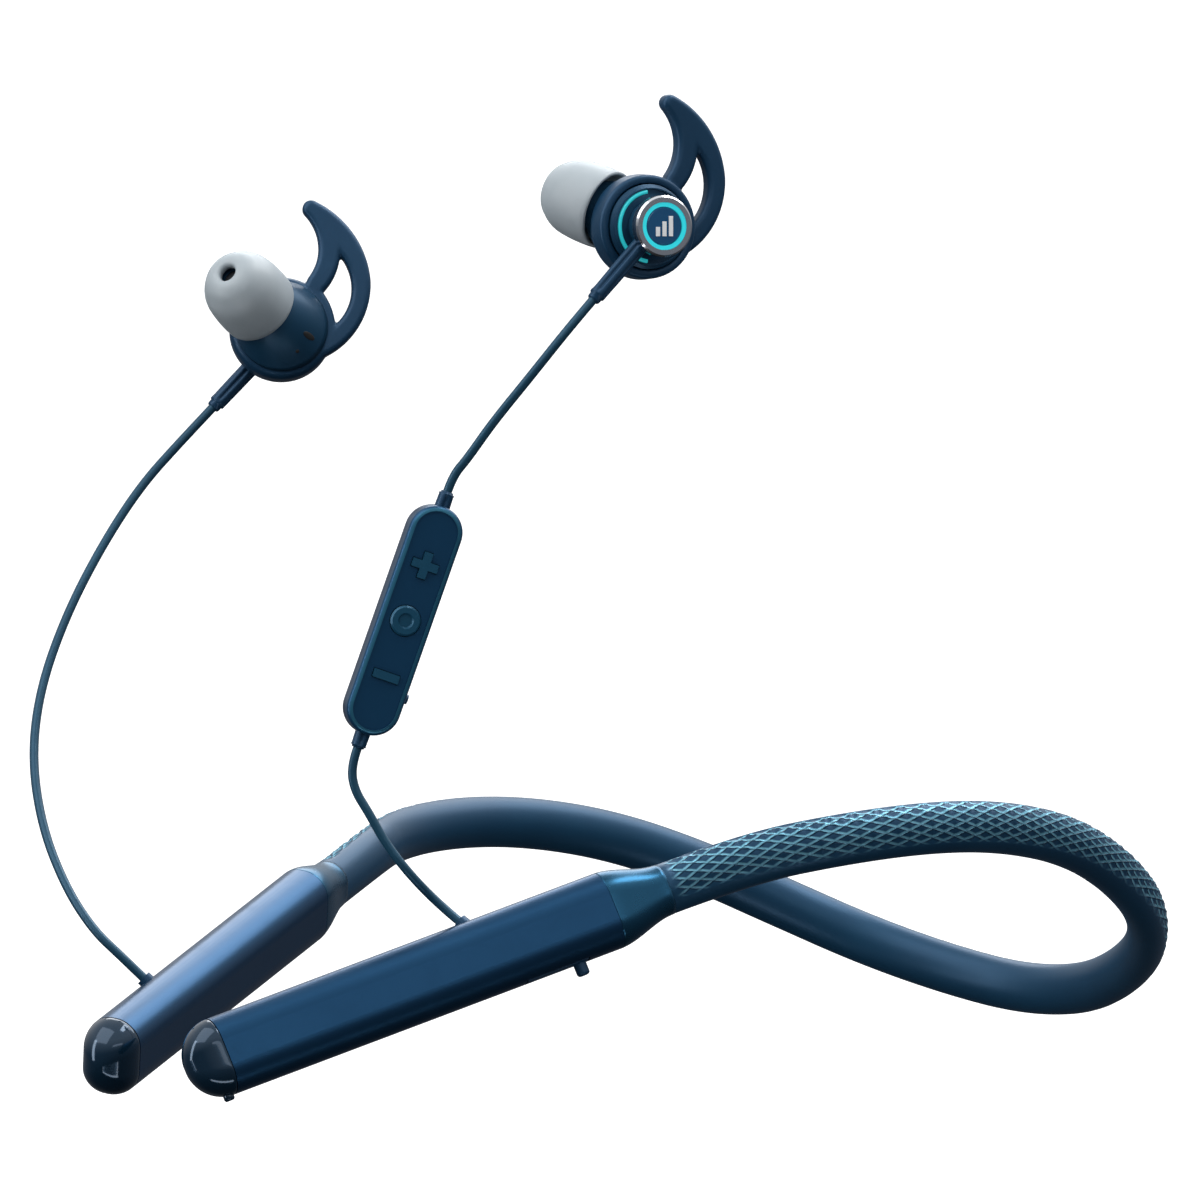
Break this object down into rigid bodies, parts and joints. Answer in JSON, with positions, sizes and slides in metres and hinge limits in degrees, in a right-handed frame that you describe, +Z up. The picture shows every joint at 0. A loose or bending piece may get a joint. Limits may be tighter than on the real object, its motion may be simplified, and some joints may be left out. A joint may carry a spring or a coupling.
{
  "type": "neckband earphones",
  "caption": "Flexible neck loop with an electronics pod at each end, corded earbuds with ear fins, and an in-line three-key remote on one cord.",
  "frame": {"origin": "the point of the band's inner face that rests on the middle of the back of the neck", "axes": "+Z up, the wearer faces -Y, +X to the wearer's left"},
  "size_m": [0.1248, 0.2062, 0.1631],
  "materials": {
    "band_silicone": "satin",
    "pod_satin": "satin",
    "dark_gloss": "gloss",
    "bud_gloss": "satin",
    "soft_navy": "matt",
    "cord_jacket": "satin",
    "tip_silicone": "translucent satin",
    "trim_chrome": "polished",
    "glow_ring": "lit",
    "disc_blue": "satin",
    "key_plastic": "satin",
    "remote_face": "satin",
    "switch_black": "matt",
    "circuit_board": "satin",
    "socket_steel": "brushed",
    "spring_steel": "satin",
    "driver_steel": "satin",
    "screen_steel": "fine mesh",
    "cell_foil": "foil"
  },
  "bodies": {
    "band": {"neckband": "band_silicone", "memory_core": "spring_steel", "left_collar": "pod_satin", "left_outer_shell": "pod_satin", "left_inner_shell": "pod_satin", "left_end_cap": "dark_gloss", "left_cord_gland": "soft_navy", "right_collar": "pod_satin", "right_outer_shell": "pod_satin", "right_inner_shell": "pod_satin", "right_end_cap": "dark_gloss", "right_cord_gland": "soft_navy", "main_board": "circuit_board", "charge_socket": "socket_steel", "battery_cell": "cell_foil", "left_lower_cord": "cord_jacket", "left_upper_cord": "cord_jacket", "right_cord": "cord_jacket", "remote_front_shell": "remote_face", "remote_back_shell": "pod_satin", "remote_board": "circuit_board", "key_switches": "switch_black", "remote_upper_relief": "soft_navy", "remote_lower_relief": "soft_navy", "mic_boot": "soft_navy", "left_front_housing": "bud_gloss", "left_rear_housing": "bud_gloss", "left_driver": "driver_steel", "left_nozzle_screen": "screen_steel", "left_trim_ring": "trim_chrome", "left_glow_ring": "glow_ring", "left_halo_ring": "glow_ring", "left_bud_disc": "disc_blue", "left_bud_relief": "soft_navy", "right_front_housing": "bud_gloss", "right_rear_housing": "bud_gloss", "right_driver": "driver_steel", "right_nozzle_screen": "screen_steel", "right_trim_ring": "trim_chrome", "right_glow_ring": "glow_ring", "right_halo_ring": "glow_ring", "right_bud_disc": "disc_blue", "right_bud_relief": "soft_navy"},
    "flap": {"charge_flap": "soft_navy"},
    "plus_key": {"plus_key": "key_plastic"},
    "play_key": {"play_key": "key_plastic"},
    "minus_key": {"minus_key": "key_plastic"},
    "left_tip": {"left_ear_tip": "tip_silicone"},
    "left_wing": {"left_wing": "soft_navy"},
    "right_tip": {"right_ear_tip": "tip_silicone"},
    "right_wing": {"right_wing": "soft_navy"}
  },
  "joints": [
    {"name": "flap_hinge", "type": "hinge", "parent": "band", "child": "flap", "pos_m": [0.0335, -0.14403, 0.00351], "axis": [-0.8845, 0.4231, -0.1963], "range_deg": [0, 100]},
    {"name": "plus_press", "type": "slide", "parent": "band", "child": "plus_key", "axis": [-0.8581, 0.5087, 0.0691], "range_m": [0, 0.00035], "stiffness_N_per_m": 200},
    {"name": "play_press", "type": "slide", "parent": "band", "child": "play_key", "axis": [-0.8581, 0.5087, 0.0691], "range_m": [0, 0.00035], "stiffness_N_per_m": 200},
    {"name": "minus_press", "type": "slide", "parent": "band", "child": "minus_key", "axis": [-0.8581, 0.5087, 0.0691], "range_m": [0, 0.00035], "stiffness_N_per_m": 200},
    {"name": "left_tip_pull", "type": "slide", "parent": "band", "child": "left_tip", "axis": [-0.9159, -0.2284, 0.3302], "range_m": [0, 0.006]},
    {"name": "left_wing_turn", "type": "hinge", "parent": "band", "child": "left_wing", "pos_m": [0.0399, -0.1252, 0.1257], "axis": [-0.9511, 0.309, 0], "range_deg": [-20, 20]},
    {"name": "right_tip_pull", "type": "slide", "parent": "band", "child": "right_tip", "axis": [0.2507, -0.8386, 0.4836], "range_m": [0, 0.006]},
    {"name": "right_wing_turn", "type": "hinge", "parent": "band", "child": "right_wing", "pos_m": [-0.0412, -0.1316, 0.1098], "axis": [0.7669, -0.6099, 0.2], "range_deg": [-20, 20]}
  ]
}
